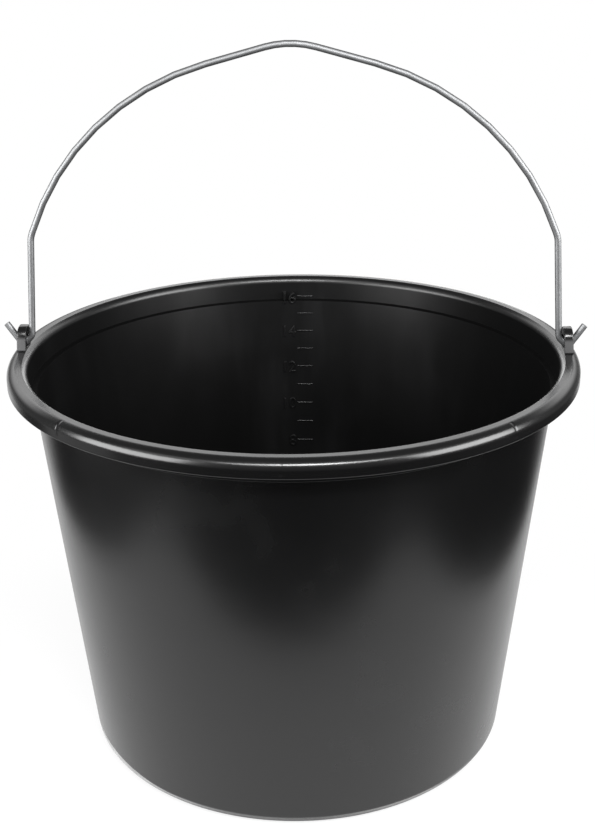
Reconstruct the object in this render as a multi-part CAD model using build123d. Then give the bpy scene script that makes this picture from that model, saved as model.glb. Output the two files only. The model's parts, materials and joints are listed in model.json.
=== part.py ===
from build123d import *
import math
import os

# A builders bucket: a one-piece moulded tub with two ears standing on its rim, and a bent wire bail
# whose hooked ends hang in the ears. Millimetres, +Z up, +X through one ear, -Y to the front.
# The origin is the middle of the base, on the ground.

# Tub: the tapered wall, the floor and the ring that it stands on
rim_diameter = 351.0
tub_height = 255.0  # ground to the rim's crest
base_diameter = 270.0  # outside of the wall, where its line meets the ground
wall = 2.4
floor_thickness = 2.4
base_corner = 8.0  # rounding between wall and floor, outside
floor_bevel = 3.0  # bevel in the same corner, inside
foot_width = 10.0  # flat ring that touches the ground
foot_height = 1.2  # how far the underside is raised inside that ring

# Rim: a collar above the shoulder, a sloping inner lip, a flat crest and a turned-down skirt
rim_width = 12.2  # outside of the rim to the inner lip
shoulder_depth = 16.5  # crest down to the shoulder inside the mouth
shoulder_width = 3.6  # how far the shoulder steps in from the collar
shoulder_rise = 0.4  # how much higher the shoulder is at the collar than at the wall
collar_draft = 1.5  # how much narrower the collar is at its foot than at the lip
lip_drop = 2.4  # crest down to the inner lip
lip_slope = 2.7  # width of the slope between lip and crest
lip_round = 2.5
rim_corner = 5.5  # rounding of the rim's outer edge
skirt_height = 10.5  # crest down to the skirt's lower edge
skirt_edge = 0.6  # bevel along the skirt's lower edge

# Ears: upright lugs moulded on the crest, with a hole each for the wire
ear_inset = 3.7  # rim's outside to the ear's outer face, at the crest
ear_thickness = 5.5
ear_lean = 4.0  # degrees that the ears lean in
ear_cheek = 3.6  # plastic beside the hole
ear_bridge = 5.0  # plastic above the hole
ear_corner = 6.6  # rounding of the ear's top corners
ear_edge = 0.6  # bevel of the edges round the ear's faces
hole_web = 1.2  # plastic between the hole and the crest
hole_clearance = 0.6  # room around the hook as it turns in the hole

# Bail: one wire with a hook at each end
wire_diameter = 4.0
leg_gap = 0.8  # wire leg to the ear's inner face, level with the hinge
leg_length = 62.5  # knee above the hook up to the bend below the arch
leg_lean = 3.8  # degrees that the legs lean in
bend_turn = 16.8  # degrees that the wire turns at that bend
bend_radius = 14.0
bend_straight = 2.0  # straight wire between that bend and the arch
arch_radius = 161.0
shoulder_slope = 15.2  # degrees that the arch's last stretch climbs to the peak
peak_radius = 57.0
hook_radius = 3.0
knee_radius = 5.0
hook_inner_slope = 45.0  # degrees that the hook falls from the knee into the ear
hook_outer_slope = 56.0  # degrees that its free end rises outside the ear
hook_free_length = 13.0  # straight free end outside the ear

# Heights and radii that follow from those sizes
rim_radius = rim_diameter / 2
base_radius = base_diameter / 2
wire_radius = wire_diameter / 2
lip_radius = rim_radius - rim_width
lip_z = tub_height - lip_drop
crest_radius = lip_radius + lip_slope
shoulder_z = tub_height - shoulder_depth
floor_z = foot_height + floor_thickness
collar_foot_radius = lip_radius - collar_draft
collar_foot_z = shoulder_z + shoulder_rise
neck_radius = collar_foot_radius - shoulder_width + wall
wall_slope = (neck_radius - base_radius) / shoulder_z
wall_across = wall * math.hypot(1, wall_slope)


def wire_top_at_face(slope):
    """Upper side of the wire where it leaves the ear, above the hook's lowest centre line."""
    angle = math.radians(slope)
    straight_run = max(ear_thickness / 2 - hook_radius * math.sin(angle), 0)
    bend_rise = hook_radius * (1 - math.cos(angle))
    return bend_rise + straight_run * math.tan(angle) + wire_radius / math.cos(angle)


# The hook turns about the middle of its own height inside the ear, and the hole leaves room round it
hook_height = wire_radius + max(wire_top_at_face(hook_inner_slope), wire_top_at_face(hook_outer_slope))
hole_radius = hook_height / 2 + hole_clearance
pivot_z = tub_height + hole_web + hole_radius
hook_low_z = pivot_z - hook_height / 2 + wire_radius
ear_width = 2 * (hole_radius + ear_cheek)
ear_top_z = pivot_z + hole_radius + ear_bridge


def ear_x(inset, z):
    """Distance from the tub's axis to a plane inside the leaning ear, at height z."""
    return rim_radius - ear_inset - inset - (z - tub_height) * math.tan(math.radians(ear_lean))


ear_inner_x = ear_x(ear_thickness, pivot_z)
ear_middle_x = ear_x(ear_thickness / 2, pivot_z)


def wall_radius(z):
    """Outside radius of the tapered wall at height z."""
    return base_radius + wall_slope * z


def tub_section():
    """Half section of the tub as a face in the XZ plane, each corner with its rounding."""
    foot_inner = base_radius - base_corner - foot_width
    outside_z = shoulder_z - wall
    skirt_z = tub_height - skirt_height
    # the channel's ceiling keeps the wall's thickness under the sloping lip
    slope = math.atan2(lip_drop, lip_slope)
    ceiling_z = tub_height - wall
    channel_radius = lip_radius + wall
    corners = [
        # underside and foot ring
        (0, foot_height, 0),
        (foot_inner - foot_height, foot_height, 0),
        (foot_inner, 0, 0),
        (base_radius, 0, base_corner),
        # outside of the wall, shoulder and collar
        (wall_radius(outside_z), outside_z, 0),
        (collar_foot_radius + wall, collar_foot_z, 0),
        # channel under the rim, then the skirt with its bevelled edge
        (channel_radius, lip_z - wall * math.tan((math.pi / 2 - slope) / 2), 0),
        (crest_radius + wall * math.tan(slope / 2), ceiling_z, 0),
        (rim_radius - wall, ceiling_z, rim_corner - wall),
        (rim_radius - wall, skirt_z, 0),
        (rim_radius - skirt_edge, skirt_z, 0),
        (rim_radius, skirt_z + skirt_edge, 0),
        # outer edge, crest and inner lip
        (rim_radius, tub_height, rim_corner),
        (crest_radius, tub_height, 0),
        (lip_radius, lip_z, lip_round),
        # inside of the collar, shoulder, wall and floor
        (collar_foot_radius, collar_foot_z, 0),
        (neck_radius - wall_across, shoulder_z, 0),
        (wall_radius(floor_z + floor_bevel) - wall_across, floor_z + floor_bevel, 0),
        (wall_radius(floor_z) - wall_across - floor_bevel, floor_z, 0),
        (0, floor_z, 0),
    ]
    points = [(r, 0, z) for r, z, _ in corners]
    return make_face(FilletPolyline(*points, radius=[rounding for _, _, rounding in corners], close=True))


def make_ear():
    """Ear on the +X side: a leaning plate with rounded top corners and a round hole, rooted in the crest."""
    root_z = tub_height - wall / 2
    half = ear_width / 2
    # seen from the front: both faces lean in
    side = [(0, root_z), (0, ear_top_z), (ear_thickness, ear_top_z), (ear_thickness, root_z)]
    slab_face = make_face(Polyline(*[(ear_x(inset, z), 0, z) for inset, z in side], close=True))
    slab = extrude(slab_face, amount=half, dir=(0, 1, 0), both=True)
    # seen from the side: rounded top corners
    foot = [(-half, root_z, 0), (half, root_z, 0)]
    corners = foot + [(half, ear_top_z, ear_corner), (-half, ear_top_z, ear_corner)]
    radii = [rounding for _, _, rounding in corners]
    outline = FilletPolyline(*[(0, y, z) for y, z, _ in corners], radius=radii, close=True)
    plate = slab & extrude(make_face(outline), amount=rim_radius, dir=(1, 0, 0))
    face_edges = [edge for edge in plate.edges() if edge.bounding_box().size.X < ear_thickness / 2]
    plate = chamfer([edge for edge in face_edges if edge.center().Z > root_z + ear_edge], ear_edge)
    drill = Pos(ear_middle_x, 0, pivot_z) * Rot(0, 90, 0) * Cylinder(hole_radius, 2 * ear_thickness)
    return plate - drill


def make_tub():
    """Revolved shell with an ear on each side."""
    ear = make_ear()
    return revolve(tub_section(), Axis.Z) + ear + mirror(ear, Plane.YZ)


def bail_points():
    """Corners of the bail's centre line on the +X side, from the free end of the hook up to the peak."""
    fall, rise = math.radians(hook_inner_slope), math.radians(hook_outer_slope)
    lean, turn = math.radians(leg_lean), math.radians(bend_turn)
    climb = math.radians(shoulder_slope)
    # the two arms of the hook are tangents of a small circle that stands on its lowest point
    inner_normal = Vector(-math.sin(fall), 0, -math.cos(fall))
    outer_normal = Vector(math.sin(rise), 0, -math.cos(rise))
    circle = Vector(ear_middle_x, 0, hook_low_z + hook_radius)
    low = circle + (inner_normal + outer_normal) * (hook_radius / (1 + inner_normal.dot(outer_normal)))
    bend_tangent = hook_radius * math.tan((fall + rise) / 2)
    tip = low + Vector(math.cos(rise), 0, math.sin(rise)) * (bend_tangent + hook_free_length)
    leg_x = ear_inner_x - leg_gap - wire_radius
    knee = Vector(leg_x, 0, low.Z + (low.X - leg_x) * math.tan(fall))
    bend = knee + Vector(-math.sin(lean), 0, math.cos(lean)) * leg_length
    # the arch rounds one corner, from the bend's direction to the last stretch's
    arch_turn = math.pi / 2 - climb - lean - turn
    reach = bend_radius * math.tan(turn / 2) + bend_straight + arch_radius * math.tan(arch_turn / 2)
    arch = bend + Vector(-math.sin(lean + turn), 0, math.cos(lean + turn)) * reach
    peak = Vector(0, 0, arch.Z + arch.X * math.tan(climb))
    return [tip, low, knee, bend, arch, peak]


def make_bail():
    """Round wire swept along straight runs joined by tangent arcs, from hook to hook."""
    half = bail_points()
    other = [Vector(-p.X, p.Y, p.Z) for p in reversed(half[:-1])]
    half_radii = [hook_radius, knee_radius, bend_radius, arch_radius]
    path = FilletPolyline(*half, *other, radius=half_radii + [peak_radius] + half_radii[::-1])
    section = Plane(origin=path @ 0, z_dir=path % 0) * Circle(wire_radius)
    wire = sweep(section, path=path)
    print("wire length", round(path.length, 1), "mm, top of the arch", round((path @ 0.5).Z, 1))
    return wire


os.makedirs("parts", exist_ok=True)
for name, solid in (("tub", make_tub()), ("wire_bail", make_bail())):
    box = solid.bounding_box()
    print(name, "solids", len(solid.solids()), "size", [round(v, 2) for v in box.size])
    export_step(solid, os.path.join("parts", name + ".step"))
print("hinge height", round(pivot_z, 3), "hole", round(2 * hole_radius, 2))
print("ear width", round(ear_width, 2), "ear top", round(ear_top_z, 2))
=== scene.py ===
# %% [markdown]
# # A builders bucket
# A black moulded tub with a turned-down rim, a litre scale inside, two ears and a wire bail that swings in them.
# The CAD model is the frame: every size here is either read from it or repeats one of its driving sizes, so that
# each piece lands where its solid is. The lesson goes from the camera over the two finishes to the tub, the ears,
# the scale, the bail and the light.

# %% Load the frame
import json
import math

import bmesh
import bpy
from mathutils import Matrix, Vector


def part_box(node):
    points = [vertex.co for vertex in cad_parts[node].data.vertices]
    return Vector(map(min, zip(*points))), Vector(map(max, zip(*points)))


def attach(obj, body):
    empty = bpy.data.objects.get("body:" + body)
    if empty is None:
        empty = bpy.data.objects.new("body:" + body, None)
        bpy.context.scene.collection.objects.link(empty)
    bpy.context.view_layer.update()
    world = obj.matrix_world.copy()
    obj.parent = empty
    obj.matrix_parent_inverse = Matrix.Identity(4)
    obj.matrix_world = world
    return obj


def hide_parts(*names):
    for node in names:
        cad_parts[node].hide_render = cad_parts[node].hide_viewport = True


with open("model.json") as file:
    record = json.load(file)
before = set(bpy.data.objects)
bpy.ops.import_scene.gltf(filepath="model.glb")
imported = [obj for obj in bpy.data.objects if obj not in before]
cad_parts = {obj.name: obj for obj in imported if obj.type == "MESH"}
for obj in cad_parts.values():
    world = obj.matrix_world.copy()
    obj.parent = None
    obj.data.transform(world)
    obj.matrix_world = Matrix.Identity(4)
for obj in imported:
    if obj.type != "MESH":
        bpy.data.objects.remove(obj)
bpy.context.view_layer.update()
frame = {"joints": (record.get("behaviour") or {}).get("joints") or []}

scene = bpy.context.scene

# %% [markdown]
# ## Sizes
# A moulding is drawn as one half section. These are the section's driving sizes in millimetres, as the CAD part has
# them, apart from the lip, which is drawn a little softer here because its highlight depends on it. The rim's
# radius, the ears' top and the hinge's height come straight from the frame.

# %% Sizes of the tub
MM = 0.001
tub_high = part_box("tub")[1]
rim_radius = tub_high.x / MM
ear_top_z = tub_high.z / MM
hinge_z = frame["joints"][0]["pos_m"][2] / MM
crest_z = 255.0
base_radius = 135.0
wall = 2.4
floor_z = 3.6
foot_width, foot_height, base_corner = 10.0, 1.2, 8.0
rim_width, rim_corner = 12.2, 5.5
lip_drop, lip_slope, lip_round = 1.9, 3.0, 5.0
shoulder_depth, shoulder_width, shoulder_rise, collar_draft = 16.5, 3.6, 0.4, 1.5
skirt_height = 10.5

lip_radius = rim_radius - rim_width
lip_z = crest_z - lip_drop
crest_radius = lip_radius + lip_slope
shoulder_z = crest_z - shoulder_depth
collar_foot_radius = lip_radius - collar_draft
collar_foot_z = shoulder_z + shoulder_rise
neck_radius = collar_foot_radius - shoulder_width + wall
wall_slope = (neck_radius - base_radius) / shoulder_z
wall_across = wall * math.hypot(1, wall_slope)
print("rim", round(rim_radius, 2), "lip", round(lip_radius, 2), "neck", round(neck_radius, 2), "hinge", hinge_z)

# %% [markdown]
# ## Camera
# The photograph was taken from about 85 cm, looking down by a good 21 degrees. The ears stand a little askew in it,
# so the camera stands slightly to the right of the middle and looks back to the left. Its place was worked out from
# the ellipses of rim and base and from the litre marks. A turn about the line of sight levels the rim as it is in
# the photograph.

# %% Camera
PHOTO_HEIGHT = 827
FOCAL_PIXELS = 1364.4
SENSOR = 36.0
camera_place = Vector((38.7, -802.8, 528.0)) * MM
look_left, look_down, level_turn = math.radians(2.611), math.radians(21.479), math.radians(-0.60)

camera_data = bpy.data.cameras.new("camera")
camera_data.sensor_width = SENSOR
camera_data.lens = FOCAL_PIXELS * SENSOR / PHOTO_HEIGHT
camera_data.clip_start, camera_data.clip_end = 0.01, 50.0
camera = bpy.data.objects.new("camera", camera_data)
turn = Matrix.Rotation(look_left, 4, "Z") @ Matrix.Rotation(math.pi / 2 - look_down, 4, "X")
camera.matrix_world = Matrix.Translation(camera_place) @ turn @ Matrix.Rotation(level_turn, 4, "Z")
scene.collection.objects.link(camera)
scene.camera = camera
scene.view_settings.view_transform = "Standard"
print("lens", round(camera_data.lens, 2), "mm")


# %% [markdown]
# ## Sums in node trees
# Materials and geometry trees are easier to read as sums than as wires. `Field` holds one socket: +, -, * and / add
# a Math node, and `node` adds any other node from its type, its settings and its sockets. A finish changes from
# place to place, so `ramp` fades between two values, and `step` and `band` do it between sizes in millimetres.

# %% Field
class Field:
    """One socket of a node tree that can be used in sums."""

    def __init__(self, tree, socket=None):
        self.tree, self.socket = tree, socket

    def node(self, kind, settings=None, sockets=None, out=0):
        """Adds a node: settings first, then each socket's value or link; returns one of its outputs."""
        made = self.tree.nodes.new(kind)
        for name, value in (settings or {}).items():
            setattr(made, name, value)
        for name, value in (sockets or {}).items():
            if isinstance(value, Field):
                self.tree.links.new(value.socket, made.inputs[name])
            else:
                made.inputs[name].default_value = value
        return Field(self.tree, made.outputs[out])

    def math(self, operation, *others):
        """A Math node on this field and further fields or numbers."""
        values = dict(enumerate((self,) + others))
        return self.node("ShaderNodeMath", {"operation": operation}, values)

    def __add__(self, other):
        return self.math("ADD", other)

    __radd__ = __add__

    def __mul__(self, other):
        return self.math("MULTIPLY", other)

    __rmul__ = __mul__

    def __sub__(self, other):
        return self.math("SUBTRACT", other)

    def __rsub__(self, other):
        return (self * -1.0) + other

    def __truediv__(self, other):
        return self.math("DIVIDE", other)

    def split(self):
        """The X, Y and Z of a vector."""
        first = self.node("ShaderNodeSeparateXYZ", sockets={"Vector": self})
        return [Field(self.tree, part) for part in first.socket.node.outputs]

    def ramp(self, low, high, bottom=0.0, top=1.0):
        """Smooth step from bottom at low to top at high."""
        sockets = {"Value": self, "From Min": low, "From Max": high, "To Min": bottom, "To Max": top}
        return self.node("ShaderNodeMapRange", {"interpolation_type": "SMOOTHSTEP"}, sockets)

    def step(self, bounds):
        """Smooth step from 0 to 1 between two sizes in millimetres."""
        return self.ramp(bounds[0] * MM, bounds[1] * MM)

    def band(self, start, end):
        """0, then 1 after one pair of sizes in millimetres, and 0 again after the other."""
        return self.step(start) * (1.0 - self.step(end))


# %% Helpers for materials
COLOUR_A, COLOUR_B, COLOUR_OUT = 6, 7, 2  # the colour sockets of a Mix node


def material(name):
    """Empty material, and a field to build on."""
    made = bpy.data.materials.new(name)
    made.use_nodes = True
    made.node_tree.nodes.clear()
    return made, Field(made.node_tree)


def finish_material(made, shader):
    """Links a shader to the material's output."""
    output = made.node_tree.nodes.new("ShaderNodeOutputMaterial")
    made.node_tree.links.new(shader.socket, output.inputs["Surface"])
    print("material", made.name, "with", len(made.node_tree.nodes), "nodes")
    return made


def noise(place, scale, detail, roughness=0.5):
    """Cloudy pattern between 0 and 1, with about that many clouds in a metre."""
    sockets = {"Vector": place, "Scale": scale, "Detail": detail, "Roughness": roughness}
    return place.node("ShaderNodeTexNoise", sockets=sockets)


def mixed(share, one, other):
    """Colour that goes from one to the other as the share goes from 0 to 1."""
    sockets = {"Factor": share, COLOUR_A: one, COLOUR_B: other}
    return share.node("ShaderNodeMix", {"data_type": "RGBA"}, sockets, out=COLOUR_OUT)


def bump(height, amount, under=None, inward=False):
    """Bump with a strength and a depth in millimetres, on top of another bump where one is given."""
    strength, depth = amount
    sockets = {"Strength": strength, "Distance": depth * MM, "Height": height, **(under or {})}
    return height.node("ShaderNodeBump", {"invert": inward}, sockets)


def from_axis(place):
    """Distance from the tub's axis."""
    flat = place.node("ShaderNodeVectorMath", {"operation": "MULTIPLY"}, {0: place, 1: (1, 1, 0)})
    return place.node("ShaderNodeVectorMath", {"operation": "LENGTH"}, {0: flat}, out="Value")


# %% [markdown]
# ## Black plastic: places on the tub
# The tub is one moulding, but it doesn't look the same all over, and some places carry painted light and shade: the
# ears' narrow sides have a painted grey sheen, the base's edge a painted light strip of reflection, and the ledge in
# the mouth and the lower and far parts of the inside are a matt black without reflection, as painted shade. Such
# places could be painted on an unwrapped surface. Here each one is worked out from a point's own coordinates, so it
# needs no unwrapping and stays where the section puts it. Each function gives 1 on its place and 0 elsewhere, with a
# soft edge. Sizes are in millimetres.

# %% Inside, ledge and ears' sides
MIDDLE_FADE = (-1.0, 1.0)  # to both sides of the middle of the plastic
COLLAR_START = (shoulder_z - 0.2, shoulder_z)
LEDGE_START = (shoulder_z - 0.25, shoulder_z - 0.05)
LEDGE_END = (collar_foot_z + 0.05, collar_foot_z + 0.3)
EAR_START, EAR_END = (crest_z + 0.2, crest_z + 1.2), (262.2, 265.0)
EAR_SIDE_START, EAR_SIDE_END = (6.8, 7.5), (9.0, 10.0)


def inside_of(height, away):
    """The tub's inner faces: what lies nearer to the axis than the middle of the plastic."""
    middle_of_wall = height * wall_slope + (base_radius - wall / 2) * MM
    middle_of_collar = height.step(COLLAR_START) * ((lip_radius + wall / 2) * MM)
    return 1.0 - (away - middle_of_wall.math("MAXIMUM", middle_of_collar)).step(MIDDLE_FADE)


def ledge_of(height):
    """The narrow ledge between wall and collar."""
    return height.band(LEDGE_START, LEDGE_END)


def ear_sides(y, height):
    """The narrow sides of the ears, up to where their corners turn."""
    return height.band(EAR_START, EAR_END) * y.math("ABSOLUTE").band(EAR_SIDE_START, EAR_SIDE_END)


print("ledge from", shoulder_z, "to", collar_foot_z, "mm")

# %% Painted reflection along the base, painted shade inside and sink marks
# the strip along the base is a painted reflection: a lighter grey for the table that the base's corner reflects,
# strongest and highest on the left
STRIP_TOP, LEFT_RISE = (5.8, 6.6), 4.0  # height of the rubbed strip, and how much higher it is on the left
FAR_LEFT = (-130, -70)
LEFT_SHARE, LEFT_END, LEFT_BACK = 0.78, (-110, -20), (0, 60)
RIGHT_SHARE, RIGHT_START, RIGHT_END = 0.35, (20, 70), (80, 100)
STRIP_LEAST_SHARE = 0.22
SCALE_SIDE, SCALE_BACK, SCALE_FOOT = (12, 55), (20, 80), (30, 80)
SHADE_FOOT, SHADE_TOP, SHADE_LOW, SHADE_HIGH = 115, 262, 0.95, 0.05
FAR_SIDE, FAR_SIDE_SHADE = (70, 105), 0.58
SINK_MARKS, SINK_TURN = 8, math.radians(0.4)
SINK_EDGE = (0.004, 0.034)  # in the sine of 4 times the angle from a mark
SINK_HEIGHT, SINK_RADIUS = (246, 248), (170.8, 172.2)


def rubbed_edge(x, y, height):
    """Painted reflection along the base: a lighter strip, most at the left and a little at the right."""
    left = (1.0 - x.step(LEFT_END)) * (1.0 - y.step(LEFT_BACK))
    strip = 1.0 - (height - (1.0 - x.step(FAR_LEFT)) * (LEFT_RISE * MM)).step(STRIP_TOP)
    return strip * (STRIP_LEAST_SHARE + left * LEFT_SHARE + x.band(RIGHT_START, RIGHT_END) * RIGHT_SHARE)


def scraped_inside(x, y, height):
    """Painted shade inside, as a matt black: most low down and at the far sides, not beside the scale."""
    aside = x.math("ABSOLUTE")
    by_scale = (1.0 - aside.step(SCALE_SIDE)) * y.step(SCALE_BACK) * height.step(SCALE_FOOT)
    deep_shade = height.ramp(SHADE_FOOT * MM, SHADE_TOP * MM, SHADE_LOW, SHADE_HIGH)
    return (1.0 - by_scale) * deep_shade.math("MAXIMUM", aside.step(FAR_SIDE) * FAR_SIDE_SHADE)


def sink_marks(x, y, height, away):
    """Faint marks across the rim's outer edge, evenly spaced round it."""
    turned = x.math("ARCTAN2", y * -1.0)
    from_mark = ((turned - SINK_TURN) * (SINK_MARKS / 2)).math("SINE").math("ABSOLUTE")
    return (1.0 - from_mark.ramp(*SINK_EDGE)) * height.step(SINK_HEIGHT) * away.step(SINK_RADIUS)


print("sink marks every", 360 / SINK_MARKS, "degrees")

# %% [markdown]
# ## Black plastic: the finish
# Black polyethylene is half glossy, with the slight waviness of a thin moulding, a finer skin grain, and duller
# patches where it was handled. One smooth black would look like lacquer. So noise at several scales drives roughness
# and bump, and the colour changes a little where dust and scuffs lie. The outside of the wall is slightly duller than
# the polished rim. Inside, the gloss is weaker, and a matt black without reflection takes over on the ledge, low down
# and at the far sides: painted shade there. The ears' narrow sides get a painted grey sheen, and the strip along the
# base a painted light grey reflection. Where ribs hide under the rim, every 45 degrees, the plastic has sunk a little
# as it cooled: an inward bump.

# %% Black plastic
CLEAN_BLACK, DUSTY_BLACK = (0.0024, 0.0024, 0.0025, 1), (0.0036, 0.0036, 0.0037, 1)
SCUFFED_BLACK, SHADE_MATT_BLACK = (0.0075, 0.0075, 0.0078, 1), (0.0042, 0.0042, 0.0042, 1)
# the grey for the ears' narrow sides is a painted sheen, and the light grey after it a painted reflection along the
# base
EAR_SHEEN_GREY, STRIP_REFLECTION_GREY = (0.070, 0.070, 0.071, 1), (0.28, 0.28, 0.28, 1)
# each noise: clouds in a metre, detail and roughness
PATCHES, CLOUDS, WAVES, SKIN = (9.0, 3.0, 0.55), (38.0, 4.0, 0.6), (26.0, 1.0), (900.0, 2.0)
STREAKS, STREAK_STRETCH = (1.0, 4.0, 0.6), (60, 60, 7)  # narrow across, long up and down
PATCH_FADE, DUST_FADE, SCUFF_FADE = (0.42, 0.72), (0.30, 0.62), (0.44, 0.70)
STREAK_PART, PATCH_PART = 0.4, 0.6
EAR_SHEEN_LEAST, EAR_SHEEN_CLOUD, REFLECTION_LEAST, REFLECTION_CLOUD = 0.6, 0.6, 0.5, 0.8
LIP_FOOT, WALL_TOP = (lip_z - 3.0, lip_z - 1.5), (236, 242)
PLASTIC_ROUGH, INSIDE_ROUGH, WALL_ROUGH, EAR_ROUGH = 0.22, 0.12, 0.028, 0.26
PATCH_ROUGH, CLOUD_ROUGH, MATT_ROUGH = 0.03, 0.04, 0.9
GRAIN_BUMP, WAVE_BUMP, SINK_BUMP = (0.06, 0.2), (0.05, 2.0), (0.26, 0.5)  # strength, and depth in millimetres
PLASTIC_IOR, INNER_GLOSS, LEDGE_SHADE = 1.57, 0.28, 0.95


def scuffs(place, patches):
    """Upright streaks that gather in the duller patches."""
    stretched = place.node("ShaderNodeVectorMath", {"operation": "MULTIPLY"}, {0: place, 1: STREAK_STRETCH})
    streaks = noise(stretched, *STREAKS)
    return (streaks * STREAK_PART + patches * PATCH_PART).ramp(*SCUFF_FADE)


def plastic_bump(place, sink):
    """Skin grain, then the moulding's waves, then the sink marks."""
    grain = bump(noise(place, *SKIN), GRAIN_BUMP)
    waves = bump(noise(place, *WAVES), WAVE_BUMP, {"Normal": grain})
    return bump(sink, SINK_BUMP, {"Normal": waves}, inward=True)


def black_plastic():
    made, f = material("black_plastic")
    place = f.node("ShaderNodeTexCoord", out="Object")
    x, y, height = place.split()
    away = from_axis(place)
    inside, sides = inside_of(height, away), ear_sides(y, height)
    below_lip = inside * (1.0 - height.step(LIP_FOOT))
    outer_wall = (1.0 - height.step(WALL_TOP)) * (1.0 - inside)
    patches, cloud = noise(place, *PATCHES), noise(place, *CLOUDS)
    dull = patches.ramp(*PATCH_FADE)
    # painted reflection along the base's outer edge, mottled by the clouds
    base_reflection = rubbed_edge(x, y, height) * (REFLECTION_LEAST + cloud * REFLECTION_CLOUD) * (1.0 - inside)
    colour = mixed((cloud * dull).ramp(*DUST_FADE), CLEAN_BLACK, DUSTY_BLACK)
    # painted sheen: the ears' narrow sides turn grey, standing in for the light they reflect
    colour = mixed(sides * (EAR_SHEEN_LEAST + cloud * EAR_SHEEN_CLOUD), colour, EAR_SHEEN_GREY)
    colour = mixed(base_reflection, colour, STRIP_REFLECTION_GREY)
    colour = mixed(scuffs(place, patches) * inside, colour, SCUFFED_BLACK)
    roughness = PLASTIC_ROUGH + inside * INSIDE_ROUGH + outer_wall * WALL_ROUGH + sides * EAR_ROUGH
    roughness = roughness + dull * PATCH_ROUGH + (cloud - 0.5) * CLOUD_ROUGH
    normal = plastic_bump(place, sink_marks(x, y, height, away))
    gloss = {"Base Color": colour, "Roughness": roughness, "Normal": normal, "IOR": PLASTIC_IOR}
    outer = f.node("ShaderNodeBsdfPrincipled", sockets=gloss)
    inner = f.node("ShaderNodeBsdfPrincipled", sockets={**gloss, "Specular IOR Level": INNER_GLOSS})
    moulding = f.node("ShaderNodeMixShader", sockets={0: below_lip, 1: outer, 2: inner})
    # painted shade: a matt black with no reflection takes over on the ledge, deep inside and at the inside's far sides
    matt = f.node("ShaderNodeBsdfPrincipled", sockets={
        "Base Color": SHADE_MATT_BLACK, "Roughness": MATT_ROUGH, "Specular IOR Level": 0.0})
    ledge_shade = ledge_of(height) * inside * LEDGE_SHADE
    painted_shade_share = ledge_shade.math("MAXIMUM", below_lip * scraped_inside(x, y, height))
    return finish_material(made, f.node("ShaderNodeMixShader", sockets={0: painted_shade_share, 1: moulding, 2: matt}))


plastic = black_plastic()

# %% [markdown]
# ## Galvanised wire
# The bail is drawn steel wire with a zinc coat. Drawing leaves fine lines along the wire, so the noise is laid out
# along and around it: the sweep that makes the wire stores both as attributes, and the noise is stretched lengthwise.
# Zinc is uneven, so the metal's colour and roughness both follow a noise. The wire's inner and outer sides, in the
# plane of the bail, are painted dark as shade, which gives the wire its dark outline.

# %% Galvanised wire
GREY_ZINC, PALE_ZINC = (0.255, 0.259, 0.264, 1), (0.30, 0.304, 0.31, 1)
# painted shade: the dark zinc for the wire's inner and outer sides, which outlines the wire
EDGE_SHADE_ZINC = (0.095, 0.096, 0.098, 1)
LINES, LINES_AROUND, LINES_ALONG = (1.0, 3.0, 0.6), 7.0, 18.0
ZINC, BLOOM, ZINC_PART, BLOOM_PART, ZINC_FADE = (90.0, 2.0), (46.0, 2.0), 0.6, 0.4, (0.3, 0.7)
EDGE_SHADE_FADE, EDGE_SHADE_LEAST, EDGE_SHADE_CLOUD = (0.78, 0.97), 0.75, 0.2
WIRE_ROUGH, ZINC_ROUGH, LINE_ROUGH = 0.55, 0.08, 0.05
LINE_BUMP = (0.01, 0.1)


def galvanised_wire():
    made, f = material("galvanised_wire")
    along = f.node("ShaderNodeAttribute", {"attribute_name": "along"}, out="Fac")
    across, outward, _ = f.node("ShaderNodeAttribute", {"attribute_name": "around"}, out="Vector").split()
    laid_out = f.node("ShaderNodeCombineXYZ", sockets={
        "X": across * LINES_AROUND, "Y": outward * LINES_AROUND, "Z": along * LINES_ALONG})
    lines = noise(laid_out, *LINES)
    place = f.node("ShaderNodeTexCoord", out="Object")
    zinc, bloom = noise(place, *ZINC), noise(place, *BLOOM)
    colour = mixed((zinc * ZINC_PART + bloom * BLOOM_PART).ramp(*ZINC_FADE), GREY_ZINC, PALE_ZINC)
    # painted shade on the wire's inner and outer sides, mottled by the zinc noise
    edge_shade = outward.math("ABSOLUTE").ramp(*EDGE_SHADE_FADE)
    colour = mixed(edge_shade * (EDGE_SHADE_LEAST + zinc * EDGE_SHADE_CLOUD), colour, EDGE_SHADE_ZINC)
    roughness = WIRE_ROUGH + (zinc - 0.5) * ZINC_ROUGH + (lines - 0.5) * LINE_ROUGH
    shader = f.node("ShaderNodeBsdfPrincipled", sockets={
        "Base Color": colour, "Roughness": roughness, "Normal": bump(lines, LINE_BUMP), "Metallic": 1.0})
    return finish_material(made, shader)


zinc_wire = galvanised_wire()


# %% [markdown]
# ## Helpers for shapes
# Two shapes here follow a line: the tub's section goes round an axis and the wire goes along a path. Both lines are
# given by a few corners with roundings. `rounded` turns each corner into an arc, and adds a point just beside each
# arc so that smooth shading keeps the straight runs flat. `grown` runs a geometry tree once and keeps its plain mesh.

# %% Rounded lines
ARC_STEP = math.radians(7)
LEAST_STEPS = 3
SHADE_GUARD = 0.3


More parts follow.
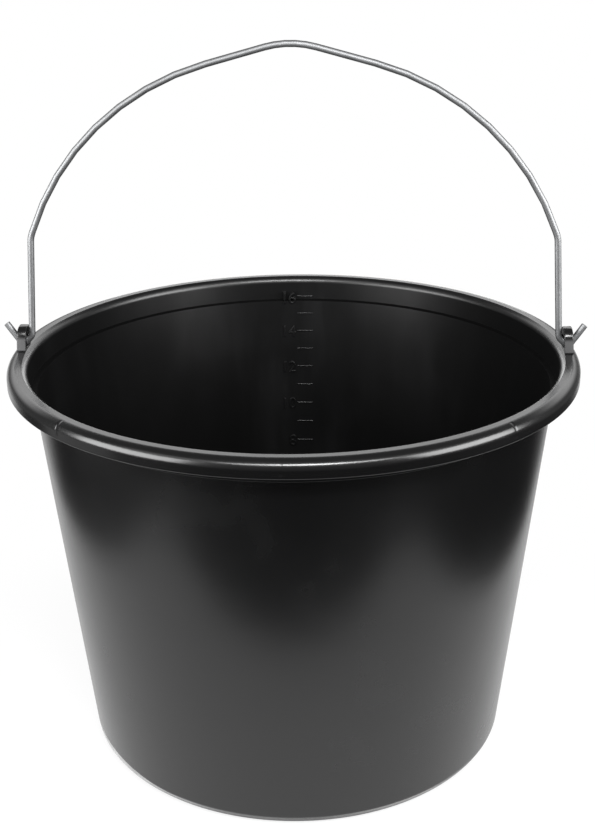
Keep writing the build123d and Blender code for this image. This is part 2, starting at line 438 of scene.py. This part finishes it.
def rounded(corners):
    """Points of a line through (a, b, rounding) corners, in metres; each rounding is a tangent arc."""
    points = []
    for k, (a, b, radius) in enumerate(corners):
        here = Vector((a, b))
        if radius == 0:
            points.append(here)
            continue
        before = (Vector(corners[k - 1][:2]) - here).normalized()
        after = (Vector(corners[k + 1][:2]) - here).normalized()
        half = before.angle(after) / 2
        centre = here + (before + after).normalized() * (radius / math.sin(half))
        start, end = here + before * (radius / math.tan(half)), here + after * (radius / math.tan(half))
        sweep = (start - centre).angle_signed(end - centre)
        steps = max(LEAST_STEPS, math.ceil(abs(sweep) / ARC_STEP))
        points.append(start + before * SHADE_GUARD)
        for s in range(steps + 1):
            points.append(centre + Matrix.Rotation(-sweep * s / steps, 2) @ (start - centre))
        points.append(end + after * SHADE_GUARD)
    return [p * MM for p in points]


# %% Objects and geometry trees
def link(name, data):
    """New object with that data, in the scene."""
    made = bpy.data.objects.new(name, data)
    scene.collection.objects.link(made)
    return made


def drop(made):
    """Removes a helper object that is not part of the bucket."""
    bpy.data.objects.remove(made)


def plain_mesh(made):
    """What an object shows after its modifiers, bevels and extrusion, as a plain mesh."""
    shown = made.evaluated_get(bpy.context.evaluated_depsgraph_get())
    return bpy.data.meshes.new_from_object(shown)


def geometry_tree(name, inputs):
    """Geometry tree with named inputs: the tree, a field for each input and each input's identifier."""
    tree = bpy.data.node_groups.new(name, "GeometryNodeTree")
    tree.interface.new_socket("Geometry", in_out="OUTPUT", socket_type="NodeSocketGeometry")
    keys = {}
    for label, kind in inputs.items():
        socket = tree.interface.new_socket(label, in_out="INPUT", socket_type="NodeSocket" + kind)
        keys[label] = socket.identifier
    source = tree.nodes.new("NodeGroupInput")
    return tree, {label: Field(tree, source.outputs[label]) for label in inputs}, keys


def close_tree(tree, geometry, finish):
    """Ends a tree: real geometry, its material and the tree's output."""
    real = geometry.node("GeometryNodeRealizeInstances", sockets={"Geometry": geometry})
    done = real.node("GeometryNodeSetMaterial", sockets={"Geometry": real, "Material": finish})
    output = tree.nodes.new("NodeGroupOutput")
    tree.links.new(done.socket, output.inputs["Geometry"])


def grown(name, tree, keys, values):
    """Runs a geometry tree with these input values and returns its result as a plain mesh object."""
    carrier = link(name + "_carrier", bpy.data.meshes.new(name + "_carrier"))
    modifier = carrier.modifiers.new("tree", "NODES")
    modifier.node_group = tree
    for label, value in values.items():
        modifier[keys[label]] = value
    mesh = plain_mesh(carrier)
    drop(carrier)
    print(name, len(mesh.vertices), "vertices,", len(mesh.polygons), "faces")
    return link(name, mesh)


# %% [markdown]
# ## Tub
# The tub is round, so a geometry tree spins its half section: a grid with one row of points for each section point
# takes its radius and height from that point, and merging the doubles closes the seam and the two middles. A Screw
# modifier could spin it too, but the tree names its inputs and keeps the row order plain. The section goes from the
# underside over the wall, the hidden channel, the skirt, the crest and the lip down to the floor.

# %% Section of the tub
foot_edge, skirt_inner_edge, skirt_edge = 0.4, 0.4, 0.85
shoulder_gap, shoulder_edge, channel_round = 0.2, 0.3, 0.8
crest_edge, collar_edge, ledge_edge = 0.7, 0.15, 0.12


def wall_radius(z):
    """Outside radius of the tapered wall."""
    return base_radius + wall_slope * z


def tub_section():
    """Corners of the half section as (radius, height, rounding)."""
    foot_inner = base_radius - base_corner - foot_width
    outside_z = shoulder_z - shoulder_gap
    skirt_z = crest_z - skirt_height
    slope = math.atan2(lip_drop, lip_slope)
    ceiling_z = crest_z - wall
    return [
        # underside and foot ring
        (0, foot_height, 0),
        (foot_inner - foot_height, foot_height, foot_edge),
        (foot_inner, 0, foot_edge),
        (base_radius, 0, base_corner),
        # outside of the wall, shoulder and channel
        (wall_radius(outside_z), outside_z, shoulder_edge),
        (collar_foot_radius + wall, outside_z, shoulder_edge),
        (lip_radius + wall, lip_z - wall * math.tan((math.pi / 2 - slope) / 2), channel_round),
        (crest_radius + wall * math.tan(slope / 2), ceiling_z, channel_round),
        (rim_radius - wall, ceiling_z, rim_corner - wall),
        # skirt, outer edge, crest and lip
        (rim_radius - wall, skirt_z, skirt_inner_edge),
        (rim_radius, skirt_z, skirt_edge),
        (rim_radius, crest_z, rim_corner),
        (crest_radius, crest_z, crest_edge),
        (lip_radius, lip_z, lip_round),
        # collar, ledge, inside of the wall and floor
        (collar_foot_radius, collar_foot_z, collar_edge),
        (neck_radius - wall_across, shoulder_z, ledge_edge),
        (wall_radius(floor_z) - wall_across, floor_z, base_corner - wall),
        (0, floor_z, 0),
    ]


section_points = rounded(tub_section())
section_mesh = bpy.data.meshes.new("section")
section_mesh.from_pydata([(p.x, 0, p.y) for p in section_points], [], [])
section_line = link("section", section_mesh)
print("section with", len(section_points), "points")

# %% Spun tub
TURNS = 288
MERGE_DISTANCE = 1e-6


def spin_tree():
    """Geometry tree that spins a section about the Z axis."""
    inputs = {"Section": "Object", "Points": "Int", "Turns": "Int", "Finish": "Material"}
    tree, f, keys = geometry_tree("spin", inputs)
    section = f["Section"].node("GeometryNodeObjectInfo", sockets={"Object": f["Section"]}, out="Geometry")
    columns = f["Turns"] + 1
    grid = section.node("GeometryNodeMeshGrid", sockets={"Vertices X": f["Points"], "Vertices Y": columns})
    index = section.node("GeometryNodeInputIndex")
    row = (index / columns).math("FLOOR")
    # clockwise, so that the faces point outwards
    angle = (index - row * columns) / f["Turns"] * (-2 * math.pi)
    spot = section.node("GeometryNodeInputPosition")
    found = section.node("GeometryNodeSampleIndex", {"data_type": "FLOAT_VECTOR", "domain": "POINT"},
                         {"Geometry": section, "Value": spot, "Index": row})
    radius, _, height = found.split()
    turned = {"X": radius * angle.math("COSINE"), "Y": radius * angle.math("SINE"), "Z": height}
    placed = grid.node("GeometryNodeSetPosition", sockets={
        "Geometry": grid, "Position": grid.node("ShaderNodeCombineXYZ", sockets=turned)})
    closed = placed.node("GeometryNodeMergeByDistance", sockets={"Geometry": placed, "Distance": MERGE_DISTANCE})
    smooth = closed.node("GeometryNodeSetShadeSmooth", sockets={"Geometry": closed})
    close_tree(tree, smooth, f["Finish"])
    return tree, keys


spin, spin_keys = spin_tree()
tub = grown("tub_moulding", spin, spin_keys, {
    "Section": section_line, "Points": len(section_points), "Turns": TURNS, "Finish": plastic})
drop(section_line)
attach(tub, "tub")
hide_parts("tub")

# %% [markdown]
# ## Ears
# Each ear is a plate with a round hole, moulded on the crest. It could be cut from a block with a Boolean, but a flat
# curve with two loops gives plate, hole and softened edges in one go: the curve's own extrude makes the thickness and
# its bevel rounds the edges. The mesh is then leaned in and set on the crest, once for each side.

# %% Ear plate
ear_inset, ear_thickness, ear_lean = 3.7, 5.5, math.radians(4.0)
ear_corner, ear_edge = 6.6, 0.6
ear_bridge, ear_cheek = 5.0, 3.6
hole_radius = ear_top_z - ear_bridge - hinge_z
ear_half = hole_radius + ear_cheek
ear_root_z = crest_z - wall / 2
HOLE_FACETS, EDGE_FACETS = 48, 3


def ear_x(inset, z):
    """Distance from the axis to a plane inside the leaning ear."""
    return rim_radius - ear_inset - inset - (z - crest_z) * math.tan(ear_lean)


def closed_loop(curve, points):
    """Adds a closed straight-sided loop to a flat curve."""
    spline = curve.splines.new("POLY")
    spline.points.add(len(points) - 1)
    for target, (a, b) in zip(spline.points, points):
        target.co = (a, b, 0, 1)
    spline.use_cyclic_u = True


def ear_plate():
    """Ear as a flat plate: across, up and thickness along the curve's own axes, in metres."""
    curve = bpy.data.curves.new("ear", "CURVE")
    curve.dimensions, curve.fill_mode = "2D", "BOTH"
    foot = [(ear_half, ear_root_z, 0), (ear_half, ear_top_z, ear_corner)]
    outline = rounded(foot + [(-a, b, r) for a, b, r in reversed(foot)])
    closed_loop(curve, [(p.x, p.y) for p in outline])
    ring = [2 * math.pi * k / HOLE_FACETS for k in range(HOLE_FACETS)]
    closed_loop(curve, [(hole_radius * MM * math.sin(a), (hinge_z + hole_radius * math.cos(a)) * MM)
                        for a in ring])
    curve.extrude = (ear_thickness / 2 - ear_edge) * MM
    curve.bevel_depth, curve.bevel_resolution = ear_edge * MM, EDGE_FACETS
    curve.offset = -ear_edge * MM
    shape = link("ear_shape", curve)
    mesh = plain_mesh(shape)
    drop(shape)
    return mesh


plate = ear_plate()
print("ear plate", len(plate.vertices), "vertices, hole", round(2 * hole_radius, 2), "mm")

# %% Ears on the crest
EAR_SHARP = math.radians(40)

vertices, faces = [], []
for side in (1, -1):
    first = len(vertices)
    for v in plate.vertices:
        across, up, out = v.co / MM
        x = ear_x(ear_thickness / 2 - out, up)
        vertices.append((side * x * MM, side * across * MM, up * MM))
    faces += [[first + k for k in face.vertices] for face in plate.polygons]
ear_mesh = bpy.data.meshes.new("ears")
ear_mesh.from_pydata(vertices, [], faces)
ear_mesh.materials.append(plastic)
ears = link("ears", ear_mesh)
ear_mesh.shade_smooth()
ear_mesh.set_sharp_from_angle(angle=EAR_SHARP)
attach(ears, "tub")
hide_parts("tub")
print("ears", len(vertices), "vertices")

# %% [markdown]
# ## Litre scale
# Inside the back wall stands a litre scale: nine raised strokes a litre apart, with numerals at every second one.
# Where a stroke goes follows from how much the tub holds up to it, so its height is solved from the cone's volume
# rather than measured. The top stroke stands on the collar and the others on the wall. A geometry tree sets one
# half-sunk round stroke on each point.

# %% Heights of the strokes
FIRST_LITRE, LAST_LITRE = 8, 16
CUBIC_MM_PER_LITRE = 1e6
HALVINGS = 40
stroke_drop, collar_stroke_drop = 0.6, 1.85  # how far a stroke stands below its sum


def inside_radius(z):
    """Inside radius of the wall's cone."""
    return wall_radius(z) - wall_across


def face_radius(z):
    """Radius of the surface that a mark stands on: the wall, or the collar above the shoulder."""
    if z < shoulder_z:
        return inside_radius(z)
    return collar_foot_radius + collar_draft * (z - collar_foot_z) / (lip_z - collar_foot_z)


def litres(z):
    """What the tub holds up to a height."""
    low, high = inside_radius(floor_z), inside_radius(z)
    return math.pi / 3 * (z - floor_z) * (low * low + low * high + high * high) / CUBIC_MM_PER_LITRE


def height_of(litre):
    """Height at which the tub holds that much, by halving."""
    low, high = floor_z, crest_z
    for _ in range(HALVINGS):
        middle = (low + high) / 2
        low, high = (middle, high) if litres(middle) < litre else (low, middle)
    return low


mark_heights = {litre: height_of(litre) for litre in range(FIRST_LITRE, LAST_LITRE + 1)}
mark_heights = {litre: z - (stroke_drop if z < shoulder_z else collar_stroke_drop)
                for litre, z in mark_heights.items()}
print("strokes at", {litre: round(z, 1) for litre, z in mark_heights.items()})

# %% Litre strokes
stroke_length, stroke_round, stroke_sink, stroke_x = 11.2, 0.8, 0.30, 1.1
STROKE_FACETS = 12


def stroke_tree():
    """Geometry tree that sets a half-sunk round stroke on each point."""
    inputs = {"Marks": "Object", "Length": "Float", "Round": "Float", "Finish": "Material"}
    tree, f, keys = geometry_tree("strokes", inputs)
    marks = f["Marks"].node("GeometryNodeObjectInfo", sockets={"Object": f["Marks"]}, out="Geometry")
    ends = [marks.node("ShaderNodeCombineXYZ", sockets={"X": f["Length"] * half}) for half in (-0.5, 0.5)]
    line = marks.node("GeometryNodeCurvePrimitiveLine", sockets={"Start": ends[0], "End": ends[1]})
    ring = marks.node("GeometryNodeCurvePrimitiveCircle", sockets={
        "Resolution": STROKE_FACETS, "Radius": f["Round"]})
    stroke = marks.node("GeometryNodeCurveToMesh", sockets={
        "Curve": line, "Profile Curve": ring, "Fill Caps": True})
    set_out = marks.node("GeometryNodeInstanceOnPoints", sockets={"Points": marks, "Instance": stroke})
    close_tree(tree, set_out, f["Finish"])
    return tree, keys


mark_mesh = bpy.data.meshes.new("marks")
mark_mesh.from_pydata([(stroke_x * MM, (face_radius(z) + stroke_sink) * MM, z * MM)
                       for z in mark_heights.values()], [], [])
mark_points = link("marks", mark_mesh)
strokes_tree, stroke_keys = stroke_tree()
strokes = grown("litre_strokes", strokes_tree, stroke_keys, {
    "Marks": mark_points, "Length": stroke_length * MM, "Round": stroke_round * MM, "Finish": plastic})
drop(mark_points)
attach(strokes, "tub")

# %% [markdown]
# ## Numerals of the scale
# The numerals are raised a little from the wall and softened at their edges. Text with its own extrude and bevel
# gives that at once. It is turned into a mesh, and its points are wrapped on the wall: across becomes an angle, up
# stays up, and the thickness points to the axis. Text leaves open seams between its caps and sides, so the points are
# welded and the faces turned outward.

# %% Litre numerals
numeral_size, numeral_squeeze, numeral_right = 11.4, 0.98, -5.4
numeral_proud, numeral_bevel, numeral_drop = 0.90, 0.40, 0.7
numeral_root = wall / 4  # how deep a numeral's back is sunk in the wall
BEVEL_FACETS = 2
WELD_DISTANCE = 1e-7


def numeral(litre):
    """Mesh of one number, wrapped on the inside of the back wall beside its stroke."""
    text = bpy.data.curves.new("numeral", "FONT")
    text.body = str(litre)
    text.align_x, text.align_y = "RIGHT", "CENTER"
    text.size, text.extrude = numeral_size * MM, (numeral_proud - numeral_bevel) * MM
    text.bevel_depth, text.bevel_resolution = numeral_bevel * MM, BEVEL_FACETS
    text.offset = -numeral_bevel / 2 * MM
    shape = link("numeral_shape", text)
    mesh = plain_mesh(shape)
    drop(shape)
    for v in mesh.vertices:
        across, up, out = v.co / MM
        z = mark_heights[litre] - numeral_drop + up
        radius = inside_radius(z) - out if out > 0 else face_radius(z) + numeral_root
        angle = (numeral_right + across * numeral_squeeze) / inside_radius(z)
        v.co = Vector((radius * math.sin(angle), radius * math.cos(angle), z)) * MM
    return mesh


def welded(mesh):
    """Joins points in the same place and turns every face outward."""
    work = bmesh.new()
    work.from_mesh(mesh)
    bmesh.ops.remove_doubles(work, verts=work.verts, dist=WELD_DISTANCE)
    bmesh.ops.recalc_face_normals(work, faces=work.faces)
    work.to_mesh(mesh)
    work.free()


vertices, faces = [], []
for litre in range(FIRST_LITRE, LAST_LITRE + 1, 2):
    mesh, first = numeral(litre), len(vertices)
    vertices += [tuple(v.co) for v in mesh.vertices]
    faces += [[first + k for k in face.vertices] for face in mesh.polygons]
numeral_mesh = bpy.data.meshes.new("litre_numerals")
numeral_mesh.from_pydata(vertices, [], faces)
welded(numeral_mesh)
numeral_mesh.materials.append(plastic)
numerals = link("litre_numerals", numeral_mesh)
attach(numerals, "tub")
print("numerals", len(numeral_mesh.vertices), "vertices")

# %% [markdown]
# ## Wire bail
# The bail is one wire bent in one plane: hook, knee, leg, bend, arch and peak, then the same down the other side. A
# bevelled curve would give its shape, but not where each point lies for the drawing lines in the zinc. So a geometry
# tree sweeps a circle along the line and stores how far along and where around each point is.

# %% Line of the bail
wire_diameter, leg_gap, leg_length = 4.0, 0.8, 62.5
leg_lean, bend_turn, climb = math.radians(3.8), math.radians(16.8), math.radians(15.2)
bend_radius, bend_straight, arch_radius, peak_radius = 14.0, 2.0, 161.0, 57.0
hook_radius, knee_radius, hook_free = 3.0, 5.0, 13.0
hook_fall, hook_rise = math.radians(45), math.radians(56)
wire_radius = wire_diameter / 2
hook_low_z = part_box("wire_bail")[0].z / MM + wire_radius


def bail_corners():
    """Corners of the wire's centre line on the right-hand side as (x, z, rounding), from hook to peak."""
    inner = Vector((-math.sin(hook_fall), -math.cos(hook_fall)))
    outer = Vector((math.sin(hook_rise), -math.cos(hook_rise)))
    circle = Vector((ear_x(ear_thickness / 2, hinge_z), hook_low_z + hook_radius))
    low = circle + (inner + outer) * (hook_radius / (1 + inner.dot(outer)))
    bend_tangent = hook_radius * math.tan((hook_fall + hook_rise) / 2)
    tip = low + Vector((math.cos(hook_rise), math.sin(hook_rise))) * (bend_tangent + hook_free)
    leg_x = ear_x(ear_thickness, hinge_z) - leg_gap - wire_radius
    knee = Vector((leg_x, low.y + (low.x - leg_x) * math.tan(hook_fall)))
    bend = knee + Vector((-math.sin(leg_lean), math.cos(leg_lean))) * leg_length
    arch_turn = math.pi / 2 - climb - leg_lean - bend_turn
    reach = bend_radius * math.tan(bend_turn / 2) + bend_straight + arch_radius * math.tan(arch_turn / 2)
    arch = bend + Vector((-math.sin(leg_lean + bend_turn), math.cos(leg_lean + bend_turn))) * reach
    peak = Vector((0, arch.y + arch.x * math.tan(climb)))
    corners = [tip, low, knee, bend, arch, peak]
    roundings = [0, hook_radius, knee_radius, bend_radius, arch_radius, peak_radius]
    return [(p.x, p.y, r) for p, r in zip(corners, roundings)]


half = bail_corners()
bail_line = rounded(half + [(-x, z, r) for x, z, r in reversed(half[:-1])])
bail_curve = bpy.data.curves.new("bail_line", "CURVE")
bail_curve.dimensions = "3D"
run = bail_curve.splines.new("POLY")
run.points.add(len(bail_line) - 1)
for target, p in zip(run.points, bail_line):
    target.co = (p.x, 0, p.y, 1)
bail_path = link("bail_line", bail_curve)
print("bail line with", len(bail_line), "points")

# %% Swept bail
WIRE_FACETS = 24
CUT_END_SHARP = math.radians(50)


def sweep_tree():
    """Geometry tree that sweeps a round wire along a curve."""
    inputs = {"Line": "Object", "Radius": "Float", "Facets": "Int", "Finish": "Material"}
    tree, f, keys = geometry_tree("sweep", inputs)
    line = f["Line"].node("GeometryNodeObjectInfo", sockets={"Object": f["Line"]}, out="Geometry")
    far = line.node("GeometryNodeSplineParameter", out="Length")
    line = line.node("GeometryNodeStoreNamedAttribute", {"data_type": "FLOAT", "domain": "POINT"},
                     {"Geometry": line, "Name": "along", "Value": far})
    ring = line.node("GeometryNodeCurvePrimitiveCircle", sockets={
        "Resolution": f["Facets"], "Radius": f["Radius"]})
    spot = line.node("ShaderNodeVectorMath", {"operation": "NORMALIZE"}, {
        0: line.node("GeometryNodeInputPosition")})
    ring = line.node("GeometryNodeStoreNamedAttribute", {"data_type": "FLOAT_VECTOR", "domain": "POINT"},
                     {"Geometry": ring, "Name": "around", "Value": spot})
    wire = line.node("GeometryNodeCurveToMesh", sockets={
        "Curve": line, "Profile Curve": ring, "Fill Caps": True})
    smooth = wire.node("GeometryNodeSetShadeSmooth", sockets={"Geometry": wire})
    close_tree(tree, smooth, f["Finish"])
    return tree, keys


sweep, sweep_keys = sweep_tree()
bail = grown("bail_wire", sweep, sweep_keys, {
    "Line": bail_path, "Radius": wire_radius * MM, "Facets": WIRE_FACETS, "Finish": zinc_wire})
drop(bail_path)
bail.data.set_sharp_from_angle(angle=CUT_END_SHARP)
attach(bail, "bail")
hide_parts("wire_bail")

# %% [markdown]
# ## Table
# The bucket stands on a white table top. Black plastic shows its surroundings more than its own colour, and the lower
# wall shows this table, so the table's edges decide where the wall turns dark. It is plain white to the camera and in
# reflections, and a share of it near the base stays lit paper, which keeps a soft shadow round the bucket.

# %% Table
TABLE_FRONT, TABLE_BACK, TABLE_CORNER = -298, 800, 100
FRONT_LEFT, FRONT_RIGHT, BACK_LEFT, BACK_RIGHT = -335, 305, -420, 315
TABLE_GAP = 0.4
SHADOW_SHARE, SHADOW_END = 0.20, (170, 330)
PAPER = (240.0, 2.0)
PAPER_GREY, PAPER_WHITE = (0.80, 0.80, 0.80, 1), (0.84, 0.84, 0.84, 1)
WHITE = (1, 1, 1, 1)


def seen_rays(f):
    """1 for rays from the camera and for reflected and transmitted ones, 0 for the light itself."""
    rays = [f.node("ShaderNodeLightPath", out=name) for name in
            ("Is Camera Ray", "Is Glossy Ray", "Is Transmission Ray")]
    return rays[0].math("MAXIMUM", rays[1]).math("MAXIMUM", rays[2])


def table_white():
    made, f = material("table_white")
    place = f.node("ShaderNodeTexCoord", out="Object")
    plain = 1.0 - (1.0 - from_axis(place).step(SHADOW_END)) * SHADOW_SHARE
    grey = mixed(noise(place, *PAPER), PAPER_GREY, PAPER_WHITE)
    lit = f.node("ShaderNodeBsdfDiffuse", sockets={"Color": grey})
    white = f.node("ShaderNodeEmission", sockets={"Color": WHITE, "Strength": 1.0})
    shader = f.node("ShaderNodeMixShader", sockets={0: seen_rays(f) * plain, 1: lit, 2: white})
    return finish_material(made, shader)


table_mesh = bpy.data.meshes.new("table")
table_edge = rounded([
    (BACK_LEFT, TABLE_BACK, 0), (FRONT_LEFT, TABLE_FRONT, TABLE_CORNER),
    (FRONT_RIGHT, TABLE_FRONT, TABLE_CORNER), (BACK_RIGHT, TABLE_BACK, 0)])
table_mesh.from_pydata([(p.x, p.y, -TABLE_GAP * MM) for p in table_edge], [], [list(range(len(table_edge)))])
table_mesh.materials.append(table_white())
table = link("table", table_mesh)
print("table with", len(table_edge), "corners")

# %% [markdown]
# ## Room
# Round the table is a dark room with a lit white wall behind. The upper wall of the bucket shows the dark room in
# front of it, and the crest shows the white wall. A picture of a studio would do, but the few forms that show are
# simple, so they are worked out from the direction in which a ray leaves. The camera sees plain white, and so do
# reflections that meet the backdrop low behind the bucket.

# %% Dark room and white wall, in the world
# where each form starts and ends, as parts of a direction of length 1
WALL_SIDE, WALL_START, WALL_END, WALL_BRIGHT = (0.35, 0.75), (0.10, 0.42), (0.43, 0.60), 1.9
CEILING_START, CEILING_END, CEILING_BACK, CEILING_BRIGHT = (0.55, 0.66), (0.70, 0.80), (-0.4, 0.0), 1.5
ROOM_START, ROOM_DARK, ROOM_GLOW = (-0.45, -0.15), 0.02, 0.18
BACKDROP_SIDE, BACKDROP_END, BACKDROP_RIGHT = (0.60, 0.80), (-0.12, 0.0), (0.24, 0.56)


def studio():
    """World that is white to the camera, and a dark room with a white wall to everything else."""
    world = bpy.data.worlds.new("studio")
    world.use_nodes = True
    world.node_tree.nodes.clear()
    f = Field(world.node_tree)
    to_right, to_back, up = f.node("ShaderNodeTexCoord", out="Generated").split()
    wall_level = up.ramp(*WALL_START) * (1.0 - up.ramp(*WALL_END))
    wall_glow = to_back.ramp(*WALL_SIDE) * wall_level * WALL_BRIGHT
    ceiling_level = up.ramp(*CEILING_START) * (1.0 - up.ramp(*CEILING_END))
    ceiling_edge = ceiling_level * (1.0 - to_back.ramp(*CEILING_BACK)) * CEILING_BRIGHT
    room_glow = ROOM_DARK + up.ramp(*ROOM_START) * ROOM_GLOW + ceiling_edge
    low_behind = to_back.ramp(*BACKDROP_SIDE) * (1.0 - up.ramp(*BACKDROP_END))
    backdrop = low_behind * (1.0 - to_right.ramp(*BACKDROP_RIGHT))
    camera_ray = f.node("ShaderNodeLightPath", out="Is Camera Ray")
    white = camera_ray.math("MAXIMUM", seen_rays(f) * backdrop)
    strength = white + (1.0 - white) * (wall_glow + room_glow)
    background = f.node("ShaderNodeBackground", sockets={"Color": WHITE, "Strength": strength})
    output = world.node_tree.nodes.new("ShaderNodeOutputWorld")
    world.node_tree.links.new(background.socket, output.inputs["Surface"])
    print("world", world.name, "with", len(world.node_tree.nodes), "nodes")
    return world


scene.world = studio()

# %% [markdown]
# ## Lamps
# Two large soft boxes give the broad soft lights on the left and right of the tub. A front box, with a wider and
# weaker strip just behind it, draws the highlight along the front of the rim. A low card behind draws a thin light
# line along the crest, and a faint card low on the left lifts the tub's lower left. All are area lamps, because their
# size is what shows in the plastic.

# %% Soft boxes
SOFT_BOXES = {
    # degrees right of the front, degrees above the rim, distance, width and height in metres, brightness
    "left_box": (-58, 10, 1.2, 0.95, 0.76, 9.1),
    "right_box": (68, 17, 1.2, 0.90, 0.70, 10.1),
    "front_box": (8, 40, 1.4, 0.58, 0.17, 28.0),
    "front_strip": (8, 40, 1.41, 1.30, 0.17, 14.5),
    "back_card": (180, 5.2, 1.0, 0.66, 0.15, 2.6),
    "left_card": (-80, -20, 0.75, 0.45, 0.16, 0.45),
}


def soft_box(name, turn, rise, distance, width, height, radiance):
    """Area lamp that faces the middle of the rim; its brightness is that of its face."""
    lamp = bpy.data.lights.new(name, "AREA")
    lamp.shape, lamp.size, lamp.size_y = "RECTANGLE", width, height
    lamp.energy = radiance * math.pi * width * height
    made = link(name, lamp)
    around = Matrix.Rotation(math.radians(turn), 4, "Z") @ Matrix.Rotation(math.radians(90 - rise), 4, "X")
    made.matrix_world = Matrix.Translation((0, 0, crest_z * MM)) @ around @ Matrix.Translation((0, 0, distance))
    made.visible_camera = False
    print(name, "energy", round(lamp.energy, 1), "W")


for name, setting in SOFT_BOXES.items():
    soft_box(name, *setting)
